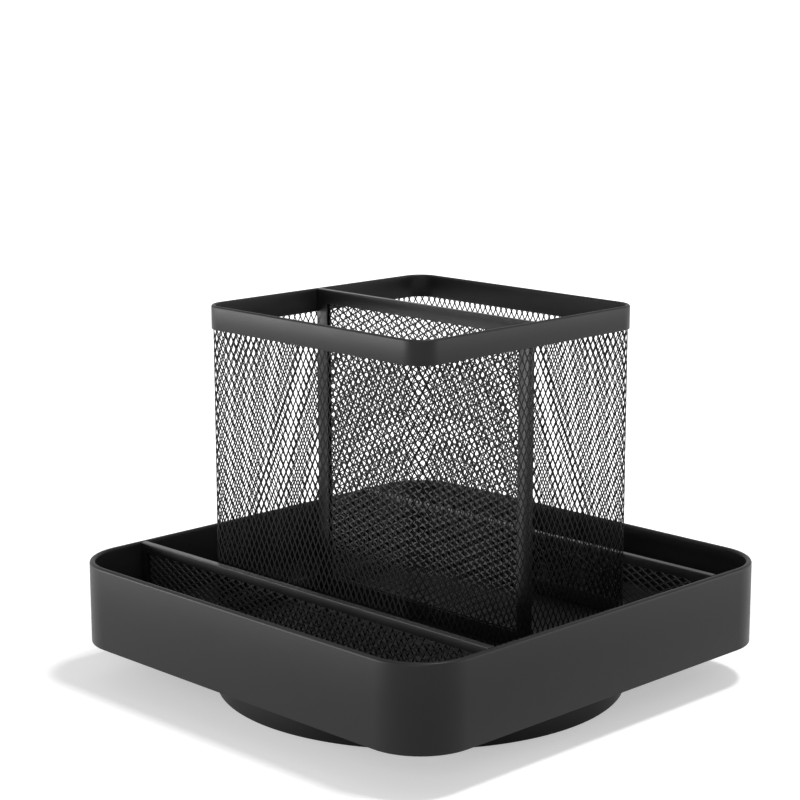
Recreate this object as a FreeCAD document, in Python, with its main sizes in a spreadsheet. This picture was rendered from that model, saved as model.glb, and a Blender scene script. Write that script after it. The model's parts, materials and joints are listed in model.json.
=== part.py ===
import FreeCAD, Part
import Sketcher
import math
import os
import re

# A rotating desk organizer: a round base stands on four feet and carries a ball turntable.
# A square tray turns on it, with two mesh dividers and a mesh pen cup in its middle.
# +Z is up, and the origin is on the desk under the turning axis.

SIZES = {
    # tray
    "tray_side": 170.0,
    "tray_corner": 19.5,
    "tray_height": 28.3,
    "tray_fold_gap": 0.6,
    "tray_edge_round": 0.6,
    "tray_lift": 14.4,
    "floor_rise": 6.8,
    "wall_sheet": 0.7,
    "floor_sheet": 0.8,
    "floor_frame_width": 7.0,
    "floor_frame_sheet": 1.0,
    # tray dividers
    "divider_gap": 0.9,
    "divider_depth": 2.5,
    "divider_band": 3.2,
    "divider_post": 3.1,
    "divider_edge_round": 0.5,
    "divider_net_sheet": 0.6,
    "divider_net_strand": 0.8,
    "divider_net_columns": 24,
    "divider_net_rows": 5,
    # pen cup
    "cup_side": 102.7,
    "cup_corner": 7.9,
    "cup_reach": 87.0,
    "cup_rim_height": 8.0,
    "cup_foot_height": 5.5,
    "cup_band_sheet": 0.35,
    "cup_edge_round": 0.4,
    "cup_grip": 4.0,
    "cup_grip_clear": 0.05,
    "cup_net_sheet": 0.6,
    "cup_net_strand": 1.0,
    "cup_net_columns": 15,
    "cup_net_rows": 8,
    # divider inside the pen cup
    "cup_divider_depth": 2.0,
    "cup_divider_band": 4.8,
    "cup_divider_post": 5.0,
    "cup_divider_foot": 5.5,
    "cup_divider_edge_round": 0.5,
    "cup_divider_net_strand": 1.0,
    "cup_divider_net_columns": 8,
    "cup_divider_net_rows": 14,
    # base and feet
    "base_radius": 69.6,
    "base_draft": 1.2,
    "base_edge_round": 3.5,
    "base_sheet": 1.2,
    "base_clear": 0.3,
    "base_plate_sheet": 1.5,
    "base_plate_clear": 0.05,
    "foot_radius": 7.0,
    "foot_inset": 15.6,
    "foot_reach": 1.1,
    "foot_stem_radius": 2.5,
    "foot_edge_round": 0.6,
    # turntable
    "turntable_margin": 6.0,
    "turntable_corner": 8.0,
    "turntable_sheet": 1.4,
    "race_flange": 10.5,
    "race_sheet": 1.0,
    "track_radius": 36.0,
    "track_width": 7.0,
    "track_height": 2.1,
    "track_gap": 1.6,
    "ball_radius": 2.0,
    "ball_clear": 0.08,
    "ball_count": 16,
    "cage_sheet": 0.8,
    "cage_margin": 0.4,
    "pivot_radius": 5.0,
    "pivot_wall": 1.6,
    "pivot_clear": 0.1,
    "pivot_lip": 3.0,
    "pivot_head_height": 0.8,
    "rivet_radius": 1.6,
    "rivet_lip": 1.4,
    "rivet_head_height": 0.8,
    # cutting bodies reach this far past what they cut
    "cut_over": 1.0,
}

# Heights and half widths that follow from the sizes above.
PLACES = {
    "floor_top": "(tray_lift + floor_rise)",
    "tray_top": "(tray_lift + tray_height)",
    "floor_seat": "(floor_top - floor_sheet)",
    "table_seat": "(floor_seat - turntable_sheet)",
    "upper_track": "(table_seat - track_height)",
    "lower_track": "(upper_track - track_gap)",
    "ball_level": "(lower_track + track_gap / 2)",
    "base_top": "(lower_track - track_height)",
    "base_height": "(base_top - base_clear)",
    "base_taper": "(base_draft * base_plate_sheet / base_height)",
    "cup_top": "(tray_top + cup_reach)",
    "tray_depth": "(2 * wall_sheet + tray_fold_gap)",
    "tray_inner": "(tray_side - 2 * tray_depth)",
    "divider_place": "(cup_side / 2 + divider_gap + divider_depth / 2)",
    "cup_band_depth": "(2 * cup_band_sheet + 2 * cup_grip_clear + cup_net_sheet)",
    "cup_inner": "(cup_side - 2 * cup_band_depth)",
    "net_inset": "(cup_band_sheet + cup_grip_clear)",
    "cup_net_low": "(floor_top + cup_foot_height - cup_grip)",
    "cup_net_high": "(cup_top - cup_rim_height + cup_grip)",
    "slot_depth": "(cup_grip + cup_grip_clear)",
    "foot_place": "(base_radius - foot_inset)",
    "foot_height": "(base_clear + base_plate_sheet + foot_reach)",
    "track_outer": "(track_radius + track_width / 2)",
    "track_inner": "(track_radius - track_width / 2)",
    "race_radius": "(track_outer + race_flange)",
    "rivet_place": "(race_radius - race_flange / 2)",
    "rivet_head_radius": "(rivet_radius + rivet_lip)",
    "pivot_head_radius": "(pivot_radius + pivot_lip)",
    "turntable_side": "(2 * (race_radius + turntable_margin))",
}

FULL_TURN = 360
QUARTER_TURN = 90
QUARTERS = 4
WALL_NAMES = ("front", "right", "back", "left")
BEND_COLUMNS = 2
# Turns a flat net upright, with its face towards -Y.
UPRIGHT = FreeCAD.Rotation(FreeCAD.Vector(1, 0, 0), QUARTER_TURN)
# How far an edge may lie from the height it is looked for at.
TOLERANCE = 1e-4

doc = FreeCAD.newDocument("rotating_desk_organizer")
sheet = doc.addObject("Spreadsheet::Sheet", "Sizes")
for row, (alias, size) in enumerate(SIZES.items(), start=1):
    sheet.set(f"A{row}", alias)
    sheet.set(f"B{row}", str(size))
    sheet.setAlias(f"B{row}", alias)
doc.recompute()


def spelled(expression):
    """Write an expression with the places spelled out in the sheet's own names."""
    while True:
        longer = re.sub(r"[a-z_]+", lambda word: PLACES.get(word[0], word[0]), expression)
        if longer == expression:
            return expression
        expression = longer


def formula(expression):
    """Give the expression as the document's objects read it."""
    words = re.compile(r"[a-z_]+")
    return words.sub(lambda word: f"Sizes.{word[0]}" if word[0] in SIZES else word[0], spelled(expression))


def number(expression):
    """Give the expression's present value."""
    return float(sheet.evalExpression(spelled(expression)))


def bind(item, **expressions):
    """Bind an object's properties to the sheet; x, y and z stand for its place."""
    for name, expression in expressions.items():
        path = f"Placement.Base.{name}" if name in ("x", "y", "z") else name
        item.setExpression(path, formula(expression))
    return item


def new_body(label, z="0"):
    body = doc.addObject("PartDesign::Body", label)
    body.Label = label
    return bind(body, z=z)


def feature(body, kind, **expressions):
    """Add a primitive feature to a body."""
    return bind(body.newObject(f"PartDesign::{kind}", f"{body.Label}_{kind}"), **expressions)


def origin_plane(body, role):
    return next(item for item in body.Origin.OriginFeatures if item.Role == role)


def vector(x=0.0, y=0.0, z=0.0):
    return FreeCAD.Vector(x, y, z)


def rounded_square(side, corner):
    """The four lines and four arcs of a centred square with round corners, in turn from the lower side."""
    half = side / 2
    flat = half - corner
    ends = ((-flat, -half, flat, -half), (half, -flat, half, flat),
            (flat, half, -flat, half), (-half, flat, -half, -flat))
    centres = ((flat, -flat), (flat, flat), (-flat, flat), (-flat, -flat))
    for turn, ((x0, y0, x1, y1), (cx, cy)) in enumerate(zip(ends, centres)):
        yield Part.LineSegment(vector(x0, y0), vector(x1, y1))
        start = math.radians(QUARTER_TURN * (turn - 1))
        yield Part.ArcOfCircle(Part.Circle(vector(cx, cy), vector(z=1), corner), start, start + math.pi / 2)


def add_rounded_square(sketch, key, side, corner):
    """Draw a rounded square in a sketch, its side and corner bound to the sheet."""
    width = number(side)
    radius = number(corner)
    first = sketch.GeometryCount
    for curve in rounded_square(width, radius):
        sketch.addGeometry(curve)
    pieces = [first + step for step in range(2 * QUARTERS)]
    for this, following in zip(pieces, pieces[1:] + pieces[:1]):
        sketch.addConstraint(Sketcher.Constraint("Tangent", this, 2, following, 1))
    bottom, right, top, left = pieces[::2]
    for level in (bottom, top):
        sketch.addConstraint(Sketcher.Constraint("Horizontal", level))
    for upright in (right, left):
        sketch.addConstraint(Sketcher.Constraint("Vertical", upright))
    for arc in pieces[3::2]:
        sketch.addConstraint(Sketcher.Constraint("Equal", pieces[1], arc))
    sketch.addConstraint(Sketcher.Constraint("Symmetric", bottom, 1, top, 1, -1, 1))
    across = sketch.addConstraint(Sketcher.Constraint("DistanceX", left, 1, right, 1, width))
    along = sketch.addConstraint(Sketcher.Constraint("DistanceY", bottom, 1, top, 1, width))
    bend = sketch.addConstraint(Sketcher.Constraint("Radius", pieces[1], radius))
    named = ((across, "across", side), (along, "along", side), (bend, "corner", corner))
    for index, suffix, expression in named:
        sketch.renameConstraint(index, f"{key}_{suffix}")
        sketch.setExpression(f"Constraints.{key}_{suffix}", formula(expression))


def ring_sketch(body, name, side, corner, outer="0", inner=None):
    """Sketch a rounded square that lies `outer` inside the given one, or a ring down to `inner`."""
    sketch = body.newObject("Sketcher::SketchObject", f"{body.Label}_{name}")
    sketch.AttachmentSupport = (origin_plane(body, "XY_Plane"), [""])
    sketch.MapMode = "FlatFace"
    add_rounded_square(sketch, "outer", f"{side} - 2 * ({outer})", f"{corner} - ({outer})")
    if inner is not None:
        add_rounded_square(sketch, "inner", f"{side} - 2 * ({inner})", f"{corner} - ({inner})")
    return sketch


def pad(body, sketch, height):
    padded = body.newObject("PartDesign::Pad", f"{body.Label}_Pad")
    padded.Profile = (sketch, [""])
    return bind(padded, Length=height)


def pocket_up(body, sketch, depth):
    """Cut a sketch upwards from the body's XY plane."""
    cut = body.newObject("PartDesign::Pocket", f"{sketch.Name}_Pocket")
    cut.Profile = (sketch, [""])
    cut.Reversed = True
    return bind(cut, Length=depth)


def round_edges(body, radius, chosen):
    """Round the edges of the body's present shape that `chosen` accepts."""
    doc.recompute()
    base = body.Tip
    names = [f"Edge{index}" for index, edge in enumerate(base.Shape.Edges, start=1) if chosen(edge.BoundBox)]
    fillet = body.newObject("PartDesign::Fillet", f"{body.Label}_Fillet")
    fillet.Base = (base, names)
    return bind(fillet, Radius=radius)


def at_height(height):
    """Accept edges that lie flat at this height of the body's own shape."""
    def chosen(box):
        return abs(box.ZMin - height) < TOLERANCE and abs(box.ZMax - height) < TOLERANCE
    return chosen


def turned(angle, x=0.0, y=0.0, z=0.0):
    """A placement that is turned about the vertical axis, after the shift given."""
    turn = FreeCAD.Rotation(vector(z=1), angle)
    return FreeCAD.Placement(turn.multVec(vector(x, y, z)), turn)


def diamond(x, y, half_width, half_height):
    points = [vector(x - half_width, y), vector(x, y - half_height),
              vector(x + half_width, y), vector(x, y + half_height)]
    return Part.makePolygon(points + points[:1])


def diamond_places(width, height, columns, rows):
    """Centres of a staggered diamond lattice that fills a rectangle centred on x, from y = 0 up."""
    pitch = width / columns
    rise = height / rows
    for row in range(rows):
        for column in range(columns):
            yield (column + 0.5) * pitch - width / 2, (row + 0.5) * rise
    for row in range(1, rows):
        for column in range(1, columns):
            yield column * pitch - width / 2, row * rise


def opening_share(pitch, rise, strand):
    """The share of a lattice cell that is left open between strands of this width."""
    inner_radius = pitch * rise / (2 * math.hypot(pitch, rise))
    return 1 - strand / 2 / inner_radius


def net_solid(outline, places, pitch, rise, strand, thickness):
    """One holed face, thickened along its normal."""
    share = opening_share(pitch, rise, strand)
    holes = [diamond(x, y, share * pitch / 2, share * rise / 2) for x, y in places]
    face = Part.makeFace([outline] + holes, "Part::FaceMakerBullseye")
    return face.extrude(vector(z=thickness))


def flat_net(width, height, columns, rows, strand, thickness):
    """A rectangular net, centred on x and standing on y = 0."""
    corners = [vector(-width / 2), vector(width / 2), vector(width / 2, height), vector(-width / 2, height)]
    places = diamond_places(width, height, columns, rows)
    outline = Part.makePolygon(corners + corners[:1])
    return net_solid(outline, places, width / columns, height / rows, strand, thickness)


def add_shape(label, shape, placement=None):
    item = doc.addObject("Part::Feature", label)
    item.Label = label
    item.Shape = shape
    item.Placement = placement or FreeCAD.Placement()
    return item


def add_primitive(kind, name, **expressions):
    return bind(doc.addObject(f"Part::{kind}", name), **expressions)


def around(place, angle):
    """Expressions for x and y at this angle on a circle."""
    return {"x": f"{place} * cos({angle})", "y": f"{place} * sin({angle})"}


def add_group(label, members):
    group = doc.addObject("Part::Compound", label)
    group.Label = label
    group.Links = members
    return group


# The base

def base_shell():
    """A pressed pan, open below, with its round shoulder at the top."""
    body = new_body("base_shell", "base_clear")
    feature(body, "AdditiveCone", Radius1="base_radius", Radius2="base_radius - base_draft",
            Height="base_height")
    round_edges(body, "base_edge_round", at_height(number("base_height")))
    hollow_from_below(body, "base_sheet")
    feature(body, "SubtractiveCylinder", Radius="pivot_radius", Height="base_height")
    for turn in range(QUARTERS):
        feature(body, "SubtractiveCylinder", Radius="rivet_radius", Height="base_height",
                **around("rivet_place", turn * QUARTER_TURN))


def hollow_from_below(body, wall):
    """Open the body at its lowest face and leave a wall of even thickness."""
    doc.recompute()
    base = body.Tip
    lowest = min(range(len(base.Shape.Faces)), key=lambda index: base.Shape.Faces[index].BoundBox.ZMax)
    hollow = body.newObject("PartDesign::Thickness", f"{body.Label}_Thickness")
    hollow.Base = (base, [f"Face{lowest + 1}"])
    hollow.Reversed = True
    bind(hollow, Value=wall)


def base_plate():
    """The disc that closes the base from below and carries the feet."""
    body = new_body("base_plate", "base_clear")
    feature(body, "AdditiveCylinder", Radius="base_radius - base_sheet - base_taper - base_plate_clear",
            Height="base_plate_sheet")
    for turn in range(QUARTERS):
        angle = (turn + 0.5) * QUARTER_TURN
        feature(body, "SubtractiveCylinder", Radius="foot_stem_radius", Height="base_plate_sheet",
                **around("foot_place", angle))


def feet():
    """Rubber buttons, pressed into the base plate from below."""
    for turn in range(QUARTERS):
        angle = (turn + 0.5) * QUARTER_TURN
        label = f"foot_{turn + 1}"
        body = bind(new_body(label), **around("foot_place", angle))
        feature(body, "AdditiveCylinder", Radius="foot_radius", Height="base_clear")
        feature(body, "AdditiveCylinder", Radius="foot_stem_radius", Height="foot_height")
        round_edges(body, "min(foot_edge_round; base_clear / 2)", at_height(0))


# The turntable

def race(label, z, flange, hollow, groove, bore, rivet_turn):
    """A pressed race: a flange, a raised track and the groove that the balls run in.

    The flange, the hollow inside the track and the groove are each given by their height in the race.
    """
    body = new_body(label, z)
    feature(body, "AdditiveCylinder", Radius="race_radius", Height="race_sheet", z=flange)
    feature(body, "AdditiveCylinder", Radius="track_outer", Height="track_height")
    feature(body, "SubtractiveCylinder", Radius="track_inner", Height="track_height - race_sheet", z=hollow)
    feature(body, "SubtractiveTorus", Radius1="track_radius", Radius2="ball_radius + ball_clear", z=groove)
    feature(body, "SubtractiveCylinder", Radius=bore, Height="track_height")
    for turn in range(QUARTERS):
        feature(body, "SubtractiveCylinder", Radius="rivet_radius", Height="track_height",
                **around("rivet_place", (turn + rivet_turn) * QUARTER_TURN))


def races():
    race("lower_race", "base_top", flange="0", hollow="race_sheet", groove="track_height + track_gap / 2",
         bore="pivot_radius", rivet_turn=0)
    race("upper_race", "upper_track", flange="track_height - race_sheet", hollow="0", groove="-track_gap / 2",
         bore="pivot_radius + pivot_clear", rivet_turn=0.5)


def ball_cage():
    """The flat ring that keeps the balls apart."""
    body = new_body("ball_cage_ring", "ball_level - cage_sheet / 2")
    feature(body, "AdditiveCylinder", Radius="track_outer - cage_margin", Height="cage_sheet")
    feature(body, "SubtractiveCylinder", Radius="track_inner + cage_margin", Height="cage_sheet")
    balls = []
    count = round(number("ball_count"))
    for index in range(count):
        angle = index * FULL_TURN / count
        feature(body, "SubtractiveCylinder", Radius="ball_radius + ball_clear", Height="cage_sheet",
                **around("track_radius", angle))
        balls.append(add_primitive("Sphere", f"ball_{index + 1}", Radius="ball_radius", z="ball_level",
                                   **around("track_radius", angle)))
    add_group("balls", balls)


def stepped_pin(name, steps, place):
    """A pin made of stacked cylinders; each step is its radius, its height and its foot."""
    parts = [add_primitive("Cylinder", f"{name}_{index}", Radius=radius, Height=height, z=foot, **place)
             for index, (radius, height, foot) in enumerate(steps)]
    pin = doc.addObject("Part::MultiFuse", name)
    pin.Shapes = parts
    pin.Refine = True
    return pin


def pivot():
    """The hollow rivet that keeps the two races together and lets the upper one turn."""
    head_low = "(base_top - base_sheet - pivot_head_height)"
    head_high = "(table_seat + pivot_clear)"
    shank = f"({head_high} - base_top + base_sheet)"
    steps = (("pivot_head_radius", "pivot_head_height", head_low),
             ("pivot_radius", shank, "base_top - base_sheet"),
             ("pivot_head_radius", "pivot_head_height", head_high))
    solid = stepped_pin("pivot_outside", steps, {})
    bore = add_primitive("Cylinder", "pivot_bore_core", Radius="pivot_radius - pivot_wall",
                         Height=f"{shank} + 2 * pivot_head_height + 2 * cut_over", z=f"{head_low} - cut_over")
    rivet = doc.addObject("Part::Cut", "pivot_rivet")
    rivet.Label = "pivot_rivet"
    rivet.Base = solid
    rivet.Tool = bore


def rivets():
    """Rivets that fasten the lower race to the base, and the upper race to the turntable plate."""
    low_head = "(base_top - base_sheet - rivet_head_height)"
    low_shank = "(base_sheet + race_sheet)"
    lower_steps = (("rivet_head_radius", "rivet_head_height", low_head),
                   ("rivet_radius", low_shank, "base_top - base_sheet"),
                   ("rivet_head_radius", "rivet_head_height", "base_top + race_sheet"))
    upper_steps = (("rivet_head_radius", "rivet_head_height", "table_seat - race_sheet - rivet_head_height"),
                   ("rivet_radius", "race_sheet + turntable_sheet", "table_seat - race_sheet"))
    for label, steps, start in (("lower_rivets", lower_steps, 0), ("upper_rivets", upper_steps, 0.5)):
        members = []
        for turn in range(QUARTERS):
            place = around("rivet_place", (turn + start) * QUARTER_TURN)
            members.append(stepped_pin(f"{label}_{turn + 1}", steps, place))
        add_group(label, members)


def turntable_plate():
    """The square plate under the tray floor that turns with the upper race."""
    body = new_body("turntable_plate", "table_seat")
    pad(body, ring_sketch(body, "outline", "turntable_side", "turntable_corner"), "turntable_sheet")
    feature(body, "SubtractiveCylinder", Radius="pivot_head_radius + pivot_clear + cut_over",
            Height="turntable_sheet")
    for turn in range(QUARTERS):
        feature(body, "SubtractiveCylinder", Radius="rivet_radius", Height="turntable_sheet",
                **around("rivet_place", (turn + 0.5) * QUARTER_TURN))


# The tray

def tray_wall():
    """One band of sheet, folded over at the rim, whose inner leg stops on the floor frame."""
    body = new_body("tray_wall", "tray_lift")
    pad(body, ring_sketch(body, "outline", "tray_side", "tray_corner", inner="tray_depth"), "tray_height")
    leg = ring_sketch(body, "leg", "tray_side", "tray_corner", outer="wall_sheet",
                      inner="tray_depth + cut_over")
    pocket_up(body, leg, "floor_seat - tray_lift")
    fold = ring_sketch(body, "fold", "tray_side", "tray_corner", outer="wall_sheet",
                       inner="tray_depth - wall_sheet")
    pocket_up(body, fold, "tray_height - wall_sheet")
    round_edges(body, "tray_edge_round", at_height(number("tray_height")))


def floor_frame():
    """The flat ring inside the tray wall that the floor is welded to."""
    body = new_body("floor_frame", "floor_seat - floor_frame_sheet")
    ring = ring_sketch(body, "outline", "tray_side", "tray_corner", outer="wall_sheet",
                       inner="wall_sheet + floor_frame_width")
    pad(body, ring, "floor_frame_sheet")


def tray_floor():
    """The tray's sheet floor, inside the wall's inner leg."""
    body = new_body("tray_floor", "floor_seat")
    pad(body, ring_sketch(body, "outline", "tray_side", "tray_corner", outer="tray_depth"), "floor_sheet")


def framed_panel(label, length, depth, low, high, band, post, foot, edge_round):
    """An upright frame along X: a top band, two posts and a foot band, centred on the body's Y axis."""
    body = new_body(label, low)
    height = f"({high} - ({low}))"
    feature(body, "AdditiveBox", Length=length, Width=depth, Height=height,
            x=f"-({length}) / 2", y=f"-{depth} / 2")
    feature(body, "SubtractiveBox", Length=f"{length} - 2 * {post}", Width=depth,
            Height=f"{height} - {band} - {foot}", x=f"{post} - ({length}) / 2", y=f"-{depth} / 2", z=foot)
    top = number(height)

    def long_top_edge(box):
        return at_height(top)(box) and box.XLength > number(length) / 2

    round_edges(body, edge_round, long_top_edge)
    return body


def panel_net(label, length, low, high, band, post, foot, net, place_y):
    """The net inside a framed panel; `net` names its own strand and counts."""
    thickness = number("divider_net_sheet")
    width = number(f"{length} - 2 * {post}")
    height = number(f"{high} - ({low}) - {band} - {foot}")
    columns = round(number(f"{net}_columns"))
    rows = round(number(f"{net}_rows"))
    solid = flat_net(width, height, columns, rows, number(f"{net}_strand"), thickness)
    seat = vector(y=place_y + thickness / 2, z=number(f"{low} + {foot}"))
    add_shape(label, solid, FreeCAD.Placement(seat, UPRIGHT))


def tray_dividers():
    shared = dict(length="tray_inner", low="floor_top", high="tray_top", band="divider_band",
                  post="divider_post", foot="divider_band")
    for name, sign in (("front", -1), ("back", 1)):
        frame = framed_panel(f"{name}_divider_frame", depth="divider_depth",
                             edge_round="divider_edge_round", **shared)
        bind(frame, y=f"{sign} * divider_place")
        panel_net(f"{name}_divider_mesh", net="divider_net", place_y=sign * number("divider_place"), **shared)


# The pen cup

def cup_band(label, z, height, slot_up, rounded):
    """A folded band around the cup that grips the edge of its net."""
    body = new_body(label, z)
    pad(body, ring_sketch(body, "outline", "cup_side", "cup_corner", inner="cup_band_depth"), height)
    slot = ring_sketch(body, "slot", "cup_side", "cup_corner", outer="cup_band_sheet",
                       inner="cup_band_depth - cup_band_sheet")
    if slot_up:
        bind(slot, **{"AttachmentOffset.Base.z": f"{height} - slot_depth"})
    pocket_up(body, slot, "slot_depth")
    if rounded:
        round_edges(body, "cup_edge_round", at_height(number(height)))


def cup_bands():
    cup_band("cup_rim", "cup_top - cup_rim_height", "cup_rim_height", slot_up=False, rounded=True)
    cup_band("cup_foot_band", "floor_top", "cup_foot_height", slot_up=True, rounded=False)


def cup_nets():
    """Four flat nets and the four quarter bends that join them."""
    inset = number("net_inset")
    thickness = number("cup_net_sheet")
    low = number("cup_net_low")
    height = number("cup_net_high") - low
    half = number("cup_side") / 2
    width = number("cup_side - 2 * cup_corner")
    columns = round(number("cup_net_columns"))
    rows = round(number("cup_net_rows"))
    strand = number("cup_net_strand")
    solid = flat_net(width, height, columns, rows, strand, thickness)
    for turn, wall in enumerate(WALL_NAMES):
        inner_face = FreeCAD.Placement(vector(y=-(half - inset - thickness), z=low), UPRIGHT)
        add_shape(f"cup_mesh_{wall}", solid, turned(turn * QUARTER_TURN).multiply(inner_face))
    bend = bend_solid(height, rows, strand)
    centre = half - number("cup_corner")
    bends = []
    for turn in range(QUARTERS):
        copy = bend.copy()
        copy.Placement = turned(turn * QUARTER_TURN, centre, centre, low)
        bends.append(copy)
    add_shape("cup_mesh_corners", Part.makeCompound(bends))


def bend_solid(height, rows, strand):
    """A quarter bend of the net, with a staggered column of openings on each side of its middle."""
    outer = number("cup_corner - net_inset")
    inner = outer - number("cup_net_sheet")
    quarter = Part.makeCylinder(outer, height, vector(), vector(z=1), QUARTER_TURN)
    bore = Part.makeCylinder(inner, height, vector(), vector(z=1), QUARTER_TURN)
    bend = quarter.cut(bore)
    arc = math.radians(QUARTER_TURN) * outer
    pitch = arc / BEND_COLUMNS
    rise = height / rows
    share = opening_share(pitch, rise, strand)
    tools = []
    for x, y in diamond_places(arc, height, BEND_COLUMNS, rows):
        cell = Part.Face(diamond(0, y, share * pitch / 2, share * rise / 2))
        cutter = cell.extrude(vector(z=outer + strand))
        cutter.rotate(vector(), vector(x=1), QUARTER_TURN)
        turn = QUARTER_TURN / 2 + math.degrees(x / outer)
        cutter.rotate(vector(), vector(z=1), turn + QUARTER_TURN)
        tools.append(cutter)
    return bend.cut(tools)


def cup_divider():
    """The framed net that splits the cup, from wall to wall and from the floor to the rim's top."""
    shared = dict(length="cup_inner", low="floor_top", high="cup_top", band="cup_divider_band",
                  post="cup_divider_post", foot="cup_divider_foot")
    framed_panel("cup_divider_frame", depth="cup_divider_depth",
                 edge_round="cup_divider_edge_round", **shared)
    panel_net("cup_divider_mesh", net="cup_divider_net", place_y=0.0, **shared)


def build():
    base_shell()
    base_plate()
    feet()
    races()
    ball_cage()
    pivot()
    rivets()
    turntable_plate()
    tray_wall()
    floor_frame()
    tray_floor()
    tray_dividers()
    cup_bands()
    cup_nets()
    cup_divider()
    doc.recompute()


NODES = (
    ["base_shell", "base_plate"] + [f"foot_{turn + 1}" for turn in range(QUARTERS)]
    + ["lower_race", "lower_rivets", "pivot_rivet", "ball_cage_ring", "balls"]
    + ["upper_race", "upper_rivets", "turntable_plate", "floor_frame", "tray_floor", "tray_wall"]
    + ["front_divider_frame", "front_divider_mesh", "back_divider_frame", "back_divider_mesh"]
    + ["cup_foot_band", "cup_rim", "cup_mesh_corners"] + [f"cup_mesh_{wall}" for wall in WALL_NAMES]
    + ["cup_divider_frame", "cup_divider_mesh"]
)


def check():
    """Stop if an object failed, or a piece is empty or broken."""
    failed = [item.Name for item in doc.Objects if {"Invalid", "Error"} & set(item.State)]
    if failed:
        raise RuntimeError(f"failed objects: {failed}")
    for name in NODES:
        shape = doc.getObjectsByLabel(name)[0].Shape
        if shape.isNull() or not shape.isValid() or not shape.Solids:
            raise RuntimeError(f"bad shape: {name}")


def export():
    os.makedirs("parts", exist_ok=True)
    for name in NODES:
        shape = doc.getObjectsByLabel(name)[0].Shape
        shape.exportStep(os.path.join("parts", f"{name}.step"))
        box = shape.optimalBoundingBox()
        print(f"{name}: {len(shape.Solids)} solids, z {box.ZMin:.2f} to {box.ZMax:.2f}")


build()
check()
export()
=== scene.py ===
"""The looks of a rotating desk organizer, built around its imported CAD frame.

The frame carries the sizes and places. This script replaces the plain bands, frames and nets by
folded sheet and expanded metal, gives every surface its finish, and sets the floor, lamps and camera.
"""

import json
import logging
import math
from collections.abc import Callable, Iterator
from contextlib import contextmanager
from dataclasses import dataclass, field
from enum import Enum

import bmesh
import bpy
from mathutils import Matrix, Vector

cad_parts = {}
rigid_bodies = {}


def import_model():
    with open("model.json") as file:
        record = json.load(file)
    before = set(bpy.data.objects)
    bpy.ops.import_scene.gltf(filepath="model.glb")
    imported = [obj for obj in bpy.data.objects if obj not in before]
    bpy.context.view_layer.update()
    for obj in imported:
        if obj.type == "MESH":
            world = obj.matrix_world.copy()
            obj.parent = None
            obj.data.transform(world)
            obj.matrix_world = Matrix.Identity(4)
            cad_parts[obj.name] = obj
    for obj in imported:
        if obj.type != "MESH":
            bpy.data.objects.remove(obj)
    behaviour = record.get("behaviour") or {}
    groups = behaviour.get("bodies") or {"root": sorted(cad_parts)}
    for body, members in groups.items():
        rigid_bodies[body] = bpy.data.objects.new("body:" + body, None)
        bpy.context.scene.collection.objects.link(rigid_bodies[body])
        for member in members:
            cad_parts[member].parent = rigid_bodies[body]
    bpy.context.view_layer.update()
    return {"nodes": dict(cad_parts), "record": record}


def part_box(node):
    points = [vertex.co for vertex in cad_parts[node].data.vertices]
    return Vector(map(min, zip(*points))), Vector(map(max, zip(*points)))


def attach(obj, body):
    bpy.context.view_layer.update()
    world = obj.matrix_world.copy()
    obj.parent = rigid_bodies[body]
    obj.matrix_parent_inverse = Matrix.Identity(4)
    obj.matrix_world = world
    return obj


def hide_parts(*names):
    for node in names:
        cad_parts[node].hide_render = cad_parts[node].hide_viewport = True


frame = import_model()

log = logging.getLogger("organizer")

MM = 0.001
# Points closer than this are one point.
SAME = 0.002 * MM
# Edges that turn more than this stay sharp in the shading.
SMOOTH_TURN = math.radians(35)
# Edges that turn more than this get a small round.
CREASE_TURN = math.radians(60)
QUARTER_TURN = math.pi / 2
# A face whose normal has at least this part along a direction faces that way.
FACING = 0.9
# A face whose normal has less than this part along a direction lies edge-on to it.
EDGE_ON = 0.1
# The mean of Blender's noise.
NOISE_MIDDLE = 0.5

Colour = tuple[float, float, float]


class Side(Enum):
    """A wall of the cup, by the turn that brings the front wall there."""

    FRONT = 0
    RIGHT = 1
    BACK = 2
    LEFT = 3


class LongWay(Enum):
    """The direction in which the openings of an expanded metal net are long."""

    ACROSS = "x"
    UPRIGHT = "y"


class Shader:
    """A shader socket that arithmetic can be written with."""

    def __init__(self, sketch: "NodeSketch", socket: bpy.types.NodeSocket) -> None:
        """Wrap a socket.

        Args:
            sketch: The node tree that the socket belongs to.
            socket: The output socket.
        """
        self.sketch = sketch
        self.socket = socket

    def math(self, operation: str, *others: "Shader | float") -> "Shader":
        """Put this value through a Math node.

        Args:
            operation: The Math node's operation.
            others: The node's further values.

        Returns:
            The node's result.
        """
        inputs = dict(enumerate((self, *others)))
        return self.sketch.node("ShaderNodeMath", {"operation": operation}, inputs)

    def __add__(self, other: "Shader | float") -> "Shader":
        """Sum."""
        return self.math("ADD", other)

    __radd__ = __add__

    def __sub__(self, other: "Shader | float") -> "Shader":
        """Difference."""
        return self.math("SUBTRACT", other)

    def __rsub__(self, other: "Shader | float") -> "Shader":
        """Difference from another value."""
        return self.sketch.node("ShaderNodeMath", {"operation": "SUBTRACT"}, {0: other, 1: self})

    def __mul__(self, other: "Shader | float") -> "Shader":
        """Product."""
        return self.math("MULTIPLY", other)

    __rmul__ = __mul__

    def clamped(self, low: float, high: float) -> "Shader":
        """This value kept between two numbers.

        Args:
            low: The least value.
            high: The greatest value.

        Returns:
            The clamped value.
        """
        return self.math("MAXIMUM", low).math("MINIMUM", high)

    def swing(self, reach: float) -> "Shader":
        """This noise as a swing about zero, as wide as the reach."""
        return (self - NOISE_MIDDLE) * reach


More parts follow.
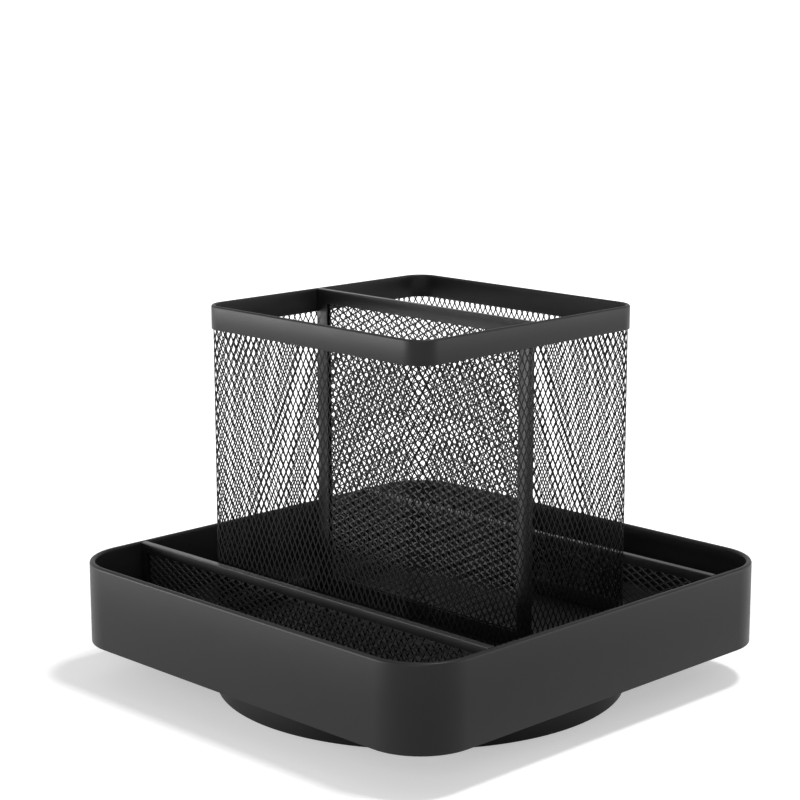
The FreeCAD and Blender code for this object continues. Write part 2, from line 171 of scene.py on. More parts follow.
class NodeSketch:
    """The node tree of a material or a world, with short ways to add nodes to it."""

    def __init__(self, owner: bpy.types.Material | bpy.types.World) -> None:
        """Empty the owner's node tree.

        Args:
            owner: The new material or world.
        """
        owner.use_nodes = True
        self.owner = owner
        self.tree = owner.node_tree
        self.tree.nodes.clear()

    def node(self, kind: str, settings: dict | None = None, inputs: dict | None = None,
             output: int | str = 0) -> Shader:
        """Add a node.

        Args:
            kind: The node's type.
            settings: Its properties, set before its sockets.
            inputs: Values or links, by the socket's name or place.
            output: The socket that is read from it.

        Returns:
            The chosen output.
        """
        made = self.tree.nodes.new(kind)
        for name, value in (settings or {}).items():
            setattr(made, name, value)
        for name, value in (inputs or {}).items():
            if isinstance(value, Shader):
                self.tree.links.new(value.socket, made.inputs[name])
            else:
                made.inputs[name].default_value = value
        return Shader(self, made.outputs[output])

    def place(self) -> Shader:
        """The point on the piece, in metres."""
        return self.node("ShaderNodeTexCoord", output="Object")

    def noise(self, size: float, detail: float) -> Shader:
        """Cloudy noise whose lumps are about one size.

        Args:
            size: The lumps' size in metres.
            detail: How many finer layers it has.

        Returns:
            A value from 0 to 1.
        """
        inputs = {"Vector": self.place(), "Scale": 1 / size, "Detail": detail}
        return self.node("ShaderNodeTexNoise", None, inputs)

    def cells(self, size: float) -> Shader:
        """Distance to the nearest point of a scattered set.

        Args:
            size: The mean distance between the points in metres.

        Returns:
            The distance, in shares of the size.
        """
        inputs = {"Vector": self.place(), "Scale": 1 / size}
        return self.node("ShaderNodeTexVoronoi", None, inputs, "Distance")

    def mixed(self, share: Shader, first: Colour, second: Colour) -> Shader:
        """Mix two colours.

        Args:
            share: How much of the second colour shows.
            first: Linear red, green and blue.
            second: Linear red, green and blue.

        Returns:
            The mixed colour.
        """
        return self.node("ShaderNodeMix", {"data_type": "RGBA"},
                         {0: share, 6: (*first, 1.0), 7: (*second, 1.0)}, 2)

    def toned(self, share: Shader, colour: Colour, dark: Colour, light: Colour) -> Shader:
        """Let a colour change between two tones of it.

        Args:
            share: How much of the lighter tone shows.
            colour: Linear red, green and blue.
            dark: The darker tone, in shares of the colour's parts.
            light: The lighter tone, in shares of the colour's parts.

        Returns:
            The changing colour.
        """
        tones = [tuple(part * tint for part, tint in zip(colour, tone)) for tone in (dark, light)]
        return self.mixed(share, *tones)

    def bump(self, height: Shader, depth: float, under: Shader | None = None) -> Shader:
        """Bend the normal by a height.

        Args:
            height: The height, from 0 to 1.
            depth: How deep 1 is, in metres.
            under: A coarser bump that this one lies on.

        Returns:
            The bent normal.
        """
        inputs = {"Height": height, "Distance": depth, "Strength": 1.0}
        if under is not None:
            inputs["Normal"] = under
        return self.node("ShaderNodeBump", None, inputs)

    def finish(self, **inputs: "Shader | float | tuple") -> bpy.types.Material:
        """Join everything in a Principled shader.

        Args:
            inputs: Its sockets, with underscores for spaces.

        Returns:
            The finished material.
        """
        named = {name.replace("_", " "): value for name, value in inputs.items()}
        self.show(self.node("ShaderNodeBsdfPrincipled", None, named), "ShaderNodeOutputMaterial")
        return self.owner

    def show(self, surface: Shader, kind: str) -> None:
        """Link a surface to the tree's output.

        Args:
            surface: The surface shader.
            kind: The output node's type.
        """
        end = self.tree.nodes.new(kind)
        self.tree.links.new(surface.socket, end.inputs["Surface"])

    def seen(self) -> Shader:
        """Tell what the camera sees, straight or in a gloss or through glass, from other light.

        Returns:
            1 for what it sees, and 0 for other light.
        """
        rays = [self.node("ShaderNodeLightPath", output=f"Is {kind} Ray")
                for kind in ("Camera", "Glossy", "Transmission")]
        return rays[0].math("MAXIMUM", rays[1]).math("MAXIMUM", rays[2])


@dataclass(frozen=True)
class PowderCoat:
    """Black powder coat: a fine pebbled skin over slightly uneven sheet."""

    name: str
    shade: float = 0.010
    dark: Colour = (0.86, 0.87, 0.90)
    light: Colour = (1.12, 1.12, 1.13)
    roughness: float = 0.42
    specular: float = 0.16
    cloud: float = 14.0 * MM
    cloud_share: float = 0.7
    cloud_dulling: float = 0.10
    speck: float = 0.9 * MM
    speck_share: float = 0.3
    speck_dulling: float = 0.08
    pebble: float = 0.45 * MM
    pebble_depth: float = 0.010 * MM
    swell: float = 9.0 * MM
    swell_depth: float = 0.012 * MM

    def material(self) -> bpy.types.Material:
        """Make the material.

        Returns:
            The finished material.
        """
        sketch = NodeSketch(bpy.data.materials.new(self.name))
        cloud = sketch.noise(self.cloud, detail=3.0)
        speck = sketch.noise(self.speck, detail=1.0)
        share = (cloud * self.cloud_share + speck * self.speck_share).clamped(0.0, 1.0)
        colour = sketch.toned(share, (self.shade,) * 3, self.dark, self.light)
        rough = cloud.swing(self.cloud_dulling) + speck.swing(self.speck_dulling) + self.roughness
        swell = sketch.bump(sketch.noise(self.swell, detail=1.0), self.swell_depth)
        skin = sketch.bump(sketch.cells(self.pebble), self.pebble_depth, swell)
        return sketch.finish(Base_Color=colour, Roughness=rough, Normal=skin,
                             Specular_IOR_Level=self.specular)


@dataclass(frozen=True)
class PlatedSteel:
    """Bright plated steel with a fine spangle and a little dulling."""

    name: str
    shade: float = 0.55
    dull: Colour = (0.80, 0.80, 0.78)
    bright: Colour = (1.10, 1.10, 1.12)
    roughness: float = 0.30
    spangle: float = 1.6 * MM
    spangle_share: float = 0.6
    spangle_dulling: float = 0.10
    cloud: float = 5.0 * MM
    cloud_share: float = 0.5
    cloud_dulling: float = 0.12
    cloud_depth: float = 0.01 * MM

    def material(self) -> bpy.types.Material:
        """Make the material.

        Returns:
            The finished material.
        """
        sketch = NodeSketch(bpy.data.materials.new(self.name))
        spangle = sketch.cells(self.spangle)
        cloud = sketch.noise(self.cloud, detail=3.0)
        share = (spangle * self.spangle_share + cloud * self.cloud_share).clamped(0.0, 1.0)
        colour = sketch.toned(share, (self.shade,) * 3, self.dull, self.bright)
        rough = spangle * self.spangle_dulling + cloud.swing(self.cloud_dulling) + self.roughness
        normal = sketch.bump(cloud, self.cloud_depth)
        return sketch.finish(Base_Color=colour, Metallic=1.0, Roughness=rough, Normal=normal)


@dataclass(frozen=True)
class Moulding:
    """Moulded plastic or rubber with a fine matt grain."""

    name: str
    colour: Colour
    dark: Colour = (0.85, 0.85, 0.85)
    light: Colour = (1.12, 1.12, 1.12)
    roughness: float = 0.6
    cloud: float = 8.0 * MM
    cloud_dulling: float = 0.12
    grain: float = 0.35 * MM
    grain_depth: float = 0.015 * MM

    def material(self) -> bpy.types.Material:
        """Make the material.

        Returns:
            The finished material.
        """
        sketch = NodeSketch(bpy.data.materials.new(self.name))
        cloud = sketch.noise(self.cloud, detail=3.0)
        grain = sketch.noise(self.grain, detail=2.0)
        colour = sketch.toned(cloud, self.colour, self.dark, self.light)
        rough = cloud.swing(self.cloud_dulling) + self.roughness
        normal = sketch.bump(grain, self.grain_depth)
        return sketch.finish(Base_Color=colour, Roughness=rough, Normal=normal)


class Bench:
    """Short ways to model with the operators, as by hand."""

    @staticmethod
    def clear_selection() -> None:
        """Deselect every object."""
        for item in bpy.context.view_layer.objects:
            item.select_set(False)

    @staticmethod
    def pick(item: bpy.types.Object) -> None:
        """Make one object the only selected and the active one.

        Args:
            item: The object.
        """
        Bench.clear_selection()
        item.select_set(True)
        bpy.context.view_layer.objects.active = item

    @staticmethod
    @contextmanager
    def editing(item: bpy.types.Object, mode: str = "VERT") -> Iterator[None]:
        """Edit mode on one object.

        Args:
            item: The object.
            mode: The selection mode, VERT, EDGE or FACE.

        Yields:
            Nothing, while the object is in edit mode.
        """
        Bench.pick(item)
        bpy.ops.object.mode_set(mode="EDIT")
        bpy.ops.mesh.select_mode(type=mode)
        yield
        bpy.ops.object.mode_set(mode="OBJECT")

    @staticmethod
    def choose(item: bpy.types.Object, kind: str, wanted: Callable[..., bool]) -> None:
        """Select the parts of a mesh in edit mode that a test accepts, and no others.

        Args:
            item: The object in edit mode.
            kind: verts, edges or faces.
            wanted: The test, which gets a BMesh element.
        """
        mesh = bmesh.from_edit_mesh(item.data)
        mesh.normal_update()
        for part in (*mesh.faces, *mesh.edges, *mesh.verts):
            part.select = False
        chosen = [part for part in getattr(mesh, kind) if wanted(part)]
        for part in chosen:
            part.select_set(True)
        bmesh.update_edit_mesh(item.data)

    @staticmethod
    def modify(item: bpy.types.Object, kind: str, **settings: object) -> None:
        """Add a modifier and apply it.

        Args:
            item: The object.
            kind: The modifier's type.
            settings: Its properties.
        """
        Bench.pick(item)
        modifier = item.modifiers.new(kind.title(), kind)
        for name, value in settings.items():
            setattr(modifier, name, value)
        bpy.ops.object.modifier_apply(modifier=modifier.name)

    @staticmethod
    def copy(item: bpy.types.Object) -> bpy.types.Object:
        """Copy an object with its own mesh.

        Args:
            item: The object.

        Returns:
            The copy.
        """
        twin = item.copy()
        twin.data = item.data.copy()
        bpy.context.collection.objects.link(twin)
        return twin

    @staticmethod
    def settle(item: bpy.types.Object) -> None:
        """Put the object's place, turn and scale into its mesh.

        Args:
            item: The object.
        """
        Bench.pick(item)
        bpy.ops.object.transform_apply(location=True, rotation=True, scale=True)

    @staticmethod
    def stand_up(item: bpy.types.Object, y: float, z: float) -> None:
        """Turn a flat piece upright.

        Args:
            item: The object, flat in the XY plane.
            y: Its place along.
            z: The height of its lower edge.
        """
        item.rotation_euler = (QUARTER_TURN, 0.0, 0.0)
        item.location = (0.0, y, z)
        Bench.settle(item)

    @staticmethod
    def join(items: list[bpy.types.Object]) -> bpy.types.Object:
        """Join objects into the first.

        Args:
            items: The objects.

        Returns:
            The joined object.
        """
        Bench.pick(items[0])
        for item in items[1:]:
            item.select_set(True)
        bpy.ops.object.join()
        return items[0]

    @staticmethod
    def turn_outwards(item: bpy.types.Object) -> None:
        """Merge doubles and turn the faces outwards, before a wall gets its thickness.

        Args:
            item: The object.
        """
        with Bench.editing(item):
            bpy.ops.mesh.select_all(action="SELECT")
            bpy.ops.mesh.remove_doubles(threshold=SAME)
            bpy.ops.mesh.normals_make_consistent(inside=False)

    @staticmethod
    def smooth(item: bpy.types.Object) -> None:
        """Shade smoothly over gentle turns.

        Args:
            item: The object.
        """
        Bench.pick(item)
        bpy.ops.object.shade_smooth_by_angle(angle=SMOOTH_TURN)

    @staticmethod
    def ease_edges(item: bpy.types.Object, width: float, steps: int) -> None:
        """Round the sharp edges a little and shade the piece smoothly.

        Args:
            item: The object.
            width: The round's width.
            steps: How many faces go across it.
        """
        Bench.modify(item, "BEVEL", width=width, segments=steps, limit_method="ANGLE",
                     angle_limit=CREASE_TURN)
        Bench.smooth(item)


@dataclass(frozen=True)
class SquarePlan:
    """A square with round corners, centred on the turning axis."""

    side: float
    corner: float
    corner_steps: int = 16

    def inside(self, x: float, y: float) -> float:
        """How far a point lies inside the outline.

        Args:
            x: Its place across.
            y: Its place along.

        Returns:
            The distance, negative outside.
        """
        flat = self.side / 2 - self.corner
        past_x = abs(x) - flat
        past_y = abs(y) - flat
        outer = math.hypot(max(past_x, 0.0), max(past_y, 0.0))
        return self.corner - outer - min(max(past_x, past_y), 0.0)

    def ring(self, z: float, width: float) -> bpy.types.Object:
        """A flat ring of faces along the inside of the outline.

        Args:
            z: Its height.
            width: Its width.

        Returns:
            The new object.
        """
        Bench.clear_selection()
        bpy.ops.mesh.primitive_plane_add(size=self.side, location=(0.0, 0.0, z))
        item = bpy.context.active_object
        Bench.settle(item)
        with Bench.editing(item):
            bpy.ops.mesh.select_all(action="SELECT")
            bpy.ops.mesh.bevel(offset=self.corner, segments=self.corner_steps, affect="VERTICES",
                               clamp_overlap=False)
            bpy.ops.mesh.select_all(action="SELECT")
            bpy.ops.mesh.inset(thickness=width)
            bpy.ops.mesh.delete(type="FACE")
        return item


@dataclass(frozen=True)
class FoldedBand:
    """A band of sheet round a square plan, folded double over a round hem.

    The hem is at one end of the outer leg; the inner leg may stop short of the other end. The ease is the
    round of its cut edges, in shares of the sheet.
    """

    plan: SquarePlan
    hem_z: float
    outer_z: float
    inner_z: float
    depth: float
    sheet: float
    hem_steps: int = 8
    ease: float = 0.2

    def build(self) -> bpy.types.Object:
        """Model the band.

        Returns:
            The new object.
        """
        middle = SquarePlan(self.plan.side - self.sheet, self.plan.corner - self.sheet / 2,
                            self.plan.corner_steps)
        gauge = self.depth - self.sheet
        toward = math.copysign(1.0, self.hem_z - self.outer_z)
        top = self.hem_z - toward * self.sheet / 2
        item = middle.ring(self.outer_z, gauge)
        with Bench.editing(item, "FACE"):
            bpy.ops.mesh.select_all(action="SELECT")
            rise = (0.0, 0.0, top - self.outer_z)
            bpy.ops.mesh.extrude_region_move(TRANSFORM_OT_translate={"value": rise})
            Bench.choose(item, "faces", self._level_at(self.outer_z))
            bpy.ops.mesh.delete(type="FACE")
        with Bench.editing(item, "EDGE"):
            flat_top = self._level_at(top)
            Bench.choose(item, "edges", lambda edge: flat_top(edge) and self._between_levels(edge))
            bpy.ops.mesh.bevel(offset=gauge / 2 - SAME, segments=self.hem_steps, profile=0.5)
        with Bench.editing(item):
            bpy.ops.mesh.select_all(action="SELECT")
            bpy.ops.mesh.remove_doubles(threshold=4 * SAME)
            bpy.ops.mesh.normals_make_consistent(inside=False)
            Bench.choose(item, "verts", lambda vert: abs(vert.co.z - self.outer_z) < SAME
                         and middle.inside(vert.co.x, vert.co.y) > gauge / 2)
            bpy.ops.transform.translate(value=(0.0, 0.0, self.inner_z - self.outer_z))
        Bench.modify(item, "SOLIDIFY", thickness=self.sheet, offset=0.0, use_even_offset=True)
        Bench.ease_edges(item, self.sheet * self.ease, steps=2)
        return item

    @staticmethod
    def _level_at(z: float) -> Callable[..., bool]:
        """A test for elements that lie flat at one height.

        Args:
            z: The height.

        Returns:
            The test.
        """
        def level(part: "bmesh.types.BMEdge | bmesh.types.BMFace") -> bool:
            """Whether all of the element's points are at that height."""
            return all(abs(vert.co.z - z) < SAME for vert in part.verts)
        return level

    @staticmethod
    def _between_levels(edge: "bmesh.types.BMEdge") -> bool:
        """Whether an edge lies between a flat face and an upright one.

        Args:
            edge: The edge.

        Returns:
            Whether it does.
        """
        if len(edge.link_faces) != 2:
            return False
        first, second = (face.normal for face in edge.link_faces)
        return abs(abs(first.z) - abs(second.z)) > 0.5


@dataclass(frozen=True)
class ExpandedNet:
    """Expanded metal: sheet that was slit and stretched into tilted strands.

    A vertex within the outline share of a cell's diamond doesn't lie on the cell's outline.
    """

    long_pitch: float = 4.9 * MM
    short_pitch: float = 2.52 * MM
    strand: float = 0.40 * MM
    sheet: float = 0.16 * MM
    bond: float = 0.20 * MM
    tilt: float = 0.05 * MM
    outline_share: float = 0.98

    def counts(self, width: float, height: float, long_way: LongWay) -> tuple[float, int]:
        """How many openings fill a panel: whole and half ones across, whole ones up.

        Args:
            width: The panel's width.
            height: The panel's height.
            long_way: The direction in which the openings are long.

        Returns:
            The count across and the count up.
        """
        across, up = self.short_pitch, self.long_pitch
        if long_way is LongWay.ACROSS:
            across, up = up, across
        return round(2 * width / across) / 2, round(height / up)

    def panel(self, width: float, height: float, long_way: LongWay,
              phase: float = 0.0) -> bpy.types.Object:
        """A flat net in the XY plane, centred on x, from y = 0 up.

        Args:
            width: Its width.
            height: Its height.
            long_way: The direction in which the openings are long.
            phase: Where its left edge cuts an opening, in shares of the pitch.

        Returns:
            The new object.
        """
        count, rows = self.counts(width, height, long_way)
        across = width / count
        up = height / rows
        item = self._cell(across, up, long_way)
        columns = math.ceil(count + phase) + 1
        merge = {"use_relative_offset": False, "use_constant_offset": True, "use_merge_vertices": True,
                 "merge_threshold": SAME}
        Bench.modify(item, "ARRAY", count=2, constant_offset_displace=(across / 2, up / 2, 0.0), **merge)
        Bench.modify(item, "ARRAY", count=columns, constant_offset_displace=(across, 0.0, 0.0), **merge)
        Bench.modify(item, "ARRAY", count=rows + 1, constant_offset_displace=(0.0, up, 0.0), **merge)
        item.location = (-width / 2 - phase * across, 0.0, 0.0)
        Bench.settle(item)
        with Bench.editing(item):
            for point, normal in (((-width / 2, 0, 0), (-1, 0, 0)), ((width / 2, 0, 0), (1, 0, 0)),
                                  ((0, 0, 0), (0, -1, 0)), ((0, height, 0), (0, 1, 0))):
                bpy.ops.mesh.select_all(action="SELECT")
                bpy.ops.mesh.bisect(plane_co=point, plane_no=normal, clear_outer=True,
                                    threshold=SAME / 10)
        Bench.turn_outwards(item)
        Bench.modify(item, "SOLIDIFY", thickness=self.sheet, offset=0.0)
        return item

    def _cell(self, across: float, up: float, long_way: LongWay) -> bpy.types.Object:
        """One diamond of strands with its opening, centred on the origin.

        Args:
            across: Its width.
            up: Its height.
            long_way: The direction in which the opening is long.

        Returns:
            The new object.
        """
        Bench.clear_selection()
        bpy.ops.mesh.primitive_circle_add(vertices=4, radius=0.5, fill_type="NGON")
        item = bpy.context.active_object
        item.scale = (across, up, 1.0)
        Bench.settle(item)
        upright = long_way is LongWay.UPRIGHT
        reach = up / 2 if upright else across / 2
        with Bench.editing(item):
            bpy.ops.mesh.select_all(action="SELECT")
            bpy.ops.mesh.inset(thickness=self.strand / 2)
            opening = [vert.co.copy() for vert in bmesh.from_edit_mesh(item.data).verts if vert.select]
            bpy.ops.mesh.delete(type="ONLY_FACE")
            lean = 0 if upright else 1
            along = 1 - lean
            inner = {tuple(round(part / SAME) for part in point) for point in opening}

            def on_opening(vert: "bmesh.types.BMVert") -> bool:
                """Whether the vertex is one of the opening's blunt corners."""
                known = tuple(round(part / SAME) for part in vert.co) in inner
                return known and abs(vert.co[along]) < SAME

            Bench.choose(item, "verts", on_opening)
            bpy.ops.mesh.bevel(offset=self.bond, segments=1, affect="VERTICES")
            for sign in (-1.0, 1.0):
                Bench.choose(item, "verts", lambda vert: abs(vert.co[along]) < reach * 0.5
                             and self.strand / 2 < sign * vert.co[lean] and self._inner(vert, across, up))
                bpy.ops.transform.translate(value=(0.0, 0.0, sign * self.tilt))
        return item

    def _inner(self, vert: "bmesh.types.BMVert", across: float, up: float) -> bool:
        """Whether a vertex lies within the cell's diamond, not on its outline."""
        return abs(vert.co.x) / (across / 2) + abs(vert.co.y) / (up / 2) < self.outline_share


@dataclass(frozen=True)
class ChannelFrame:
    """An upright frame along X, folded from sheet: a channel all round that holds the edge of a net.

    The edge is the round along its top, and the ease that of its other edges, in shares of the sheet.
    """

    length: float
    depth: float
    low: float
    high: float
    band: float
    post: float
    foot: float
    place_y: float
    sheet: float = 0.35 * MM
    edge: float = 0.3 * MM
    edge_steps: int = 6
    ease: float = 0.25

    def build(self) -> bpy.types.Object:
        """Model the frame.

        Returns:
            The new object.
        """
        Bench.clear_selection()
        height = self.high - self.low
        middle = self.low + height / 2
        bpy.ops.mesh.primitive_cube_add(size=1.0, location=(0.0, self.place_y, middle))
        item = bpy.context.active_object
        item.scale = (self.length, self.depth, height)
        Bench.settle(item)
        with Bench.editing(item, "FACE"):
            Bench.choose(item, "faces", lambda face: abs(face.normal.y) > FACING)
            bpy.ops.mesh.inset(thickness=self.post)
            inner_x = self.length / 2 - self.post / 2
            for wanted, shift in ((1.0, self.post - self.band), (-1.0, self.foot - self.post)):
                Bench.choose(item, "verts", lambda vert: abs(vert.co.x) < inner_x
                             and wanted * (vert.co.z - middle) > 0)
                bpy.ops.transform.translate(value=(0.0, 0.0, shift))
            Bench.choose(item, "faces", lambda face: abs(face.normal.y) > FACING
                         and all(abs(vert.co.x) < inner_x for vert in face.verts))
            bpy.ops.mesh.bridge_edge_loops()
            Bench.choose(item, "faces", self._lines_opening)
            bpy.ops.mesh.inset(thickness=self.sheet)
            sink = min(self.post, self.band, self.foot) - 2 * self.sheet
            bpy.ops.mesh.extrude_region_shrink_fatten(TRANSFORM_OT_shrink_fatten={"value": -sink})
        Bench.turn_outwards(item)
        with Bench.editing(item, "EDGE"):
            Bench.choose(item, "edges", self._runs_along_top)
            bpy.ops.mesh.bevel(offset=self.edge, segments=self.edge_steps, profile=0.5)
        Bench.ease_edges(item, self.sheet * self.ease, steps=2)
        return item

    def _runs_along_top(self, edge: "bmesh.types.BMEdge") -> bool:
        """Whether an edge lies on the frame's top and runs along it.

        Args:
            edge: The edge.

        Returns:
            Whether it does.
        """
        first, second = (vert.co for vert in edge.verts)
        on_top = abs(first.z - self.high) < SAME and abs(second.z - self.high) < SAME
        return on_top and abs(first.y - second.y) < SAME

    def _lines_opening(self, face: "bmesh.types.BMFace") -> bool:
        """Whether a face lines the frame's opening.

        Args:
            face: The face.

        Returns:
            Whether it does.
        """
        centre = face.calc_center_median()
        inside = abs(centre.x) < self.length / 2 - self.post / 2
        return abs(face.normal.y) < EDGE_ON and inside and self.low + SAME < centre.z < self.high - SAME


def dress(item: bpy.types.Object, name: str, body: str, finish: bpy.types.Material,
          node: str) -> None:
    """Name a finished piece, give it its finish and seat it in the frame.

    Args:
        item: The piece.
        name: Its name.
        body: The body that it rides on.
        finish: Its material.
        node: The CAD node that it stands for.
    """
    item.name = name
    item.data.name = name
    item.data.materials.clear()
    item.data.materials.append(finish)
    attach(item, body)
    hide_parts(node)
    log.info("%s: %d faces", name, len(item.data.polygons))


def made(finish: PowderCoat | PlatedSteel | Moulding) -> bpy.types.Material:
    """A dataclass field whose value is the finish's material, made when it is needed."""
    return field(default_factory=finish.material)


@dataclass
class Finishes:
    """The finishes of the whole organizer."""

    tray_coat: bpy.types.Material = made(PowderCoat("tray_coat"))
    band_coat: bpy.types.Material = made(PowderCoat("band_coat"))
    # A darker, duller copy of the black coat for the cup's nets: painted shade on their strands.
    mesh_coat: bpy.types.Material = made(PowderCoat("mesh_coat", shade=0.004, specular=0.06))
    # A lighter copy of the black coat for the dividers' nets: painted light on their strands.
    net_coat: bpy.types.Material = made(PowderCoat("net_coat", shade=0.022))
    # A darker, glossier copy of the black coat for the divider frames: painted shade on their faces.
    frame_coat: bpy.types.Material = made(
        PowderCoat("frame_coat", shade=0.007, roughness=0.36, specular=0.3))
    # Slightly darker and duller than the tray's coat: painted shade on the base's side under the tray.
    base_coat: bpy.types.Material = made(PowderCoat("base_coat", shade=0.009, specular=0.09))
    # A darker, duller copy of the black coat for the tray's floor: painted shade on the floor inside the
    # walls.
    floor_coat: bpy.types.Material = made(PowderCoat("floor_coat", shade=0.008, specular=0.06))
    race_steel: bpy.types.Material = made(PlatedSteel("race_steel"))
    ball_steel: bpy.types.Material = made(PlatedSteel("ball_steel", shade=0.7, roughness=0.12))
    rivet_steel: bpy.types.Material = made(PlatedSteel("rivet_steel", shade=0.5))
    cage_plastic: bpy.types.Material = made(Moulding("cage_plastic", (0.62, 0.60, 0.54), roughness=0.5))
    base_plastic: bpy.types.Material = made(Moulding("base_plastic", (0.02, 0.02, 0.021)))
    foot_rubber: bpy.types.Material = made(
        Moulding("foot_rubber", (0.014, 0.014, 0.014), roughness=0.75))

    def coat_frame(self) -> None:
        """Give every CAD node the finish of its material slot."""
        for part in frame["record"]["subparts"]:
            node = frame["nodes"][part["node"]]
            node.data.materials.clear()
            node.data.materials.append(getattr(self, part["material_slot"]))


# The dividers' net is a little coarser than the cup's.
DIVIDER_NET = ExpandedNet(strand=0.44 * MM, sheet=0.22 * MM, bond=0.24 * MM, tilt=0.12 * MM)


def framed_net(finishes: Finishes, stem: str, band: float, post: float, foot: float) -> None:
    """Model a folded frame and the net in it, in place of the CAD frame and mesh of that name.

    Args:
        finishes: The finishes to dress them in.
        stem: The start of the CAD nodes' names.
        band: The height of the frame's top band.
        post: The width of its posts.
        foot: The height of its foot band.
    """
    low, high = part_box(f"{stem}_frame")
    place_y = (low.y + high.y) / 2
    channel = ChannelFrame(length=high.x - low.x, depth=high.y - low.y, low=low.z, high=high.z,
                           band=band, post=post, foot=foot, place_y=place_y).build()
    # The frame gets the darker copy of the coat, which paints shade on its faces.
    dress(channel, f"{stem}_channel", "carousel", finishes.frame_coat, f"{stem}_frame")
    low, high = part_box(f"{stem}_mesh")
    net = DIVIDER_NET.panel(high.x - low.x, high.z - low.z, LongWay.ACROSS)
    Bench.stand_up(net, place_y, low.z)
    Bench.smooth(net)
    # The net gets the lighter copy of the coat, which paints light on its strands.
    dress(net, f"{stem}_net", "carousel", finishes.net_coat, f"{stem}_mesh")


@dataclass
class TurnBase:
    """The round base: the pressed pan over the turntable."""

    finishes: Finishes
    draft: float = 1.2 * MM
    shoulder: float = 3.5 * MM
    shoulder_steps: int = 10
    sheet: float = 1.2 * MM
    bore: float = 5.0 * MM
    round_steps: int = 160
    ease: float = 0.3

    def build(self) -> None:
        """Model and seat the pan: a drafted side, a round shoulder and a flat top round the pivot."""
        low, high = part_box("base_shell")
        Bench.clear_selection()
        bpy.ops.mesh.primitive_circle_add(vertices=self.round_steps, radius=high.x,
                                          location=(0.0, 0.0, low.z))
        item = bpy.context.active_object
        Bench.settle(item)
        top_radius = high.x - self.draft
        with Bench.editing(item, "EDGE"):
            bpy.ops.mesh.select_all(action="SELECT")
            for rise, share in ((high.z - low.z, top_radius / high.x), (0.0, self.bore / top_radius)):
                bpy.ops.mesh.extrude_region_move(TRANSFORM_OT_translate={"value": (0.0, 0.0, rise)})
                bpy.ops.transform.resize(value=(share, share, 1.0))
            Bench.choose(item, "edges", lambda edge: len(edge.link_faces) == 2
                         and all(vert.co.xy.length > top_radius - SAME for vert in edge.verts)
                         and all(abs(vert.co.z - high.z) < SAME for vert in edge.verts))
            bpy.ops.mesh.bevel(offset=self.shoulder, segments=self.shoulder_steps, profile=0.5)
        Bench.turn_outwards(item)
        Bench.modify(item, "SOLIDIFY", thickness=self.sheet, offset=-1.0, use_even_offset=True)
        Bench.ease_edges(item, self.sheet * self.ease, steps=3)
        dress(item, "base_pan", "base", self.finishes.base_coat, "base_shell")


@dataclass
class TraySet:
    """The tray: its folded wall and the two framed dividers."""

    finishes: Finishes
    corner: float = 19.5 * MM
    sheet: float = 0.7 * MM
    depth: float = 2.0 * MM
    divider_band: float = 3.2 * MM
    divider_post: float = 3.1 * MM

    def build(self) -> None:
        """Model and seat the tray's pieces."""
        self.wall()
        for place in ("front", "back"):
            framed_net(self.finishes, f"{place}_divider", band=self.divider_band,
                       post=self.divider_post, foot=self.divider_band)

    def wall(self) -> None:
        """The folded wall."""
        low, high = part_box("tray_wall")
        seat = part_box("tray_floor")[0].z
        plan = SquarePlan(high.x - low.x, self.corner)
        item = FoldedBand(plan, high.z, low.z, seat, self.depth, self.sheet).build()
        dress(item, "tray_band", "carousel", self.finishes.tray_coat, "tray_wall")


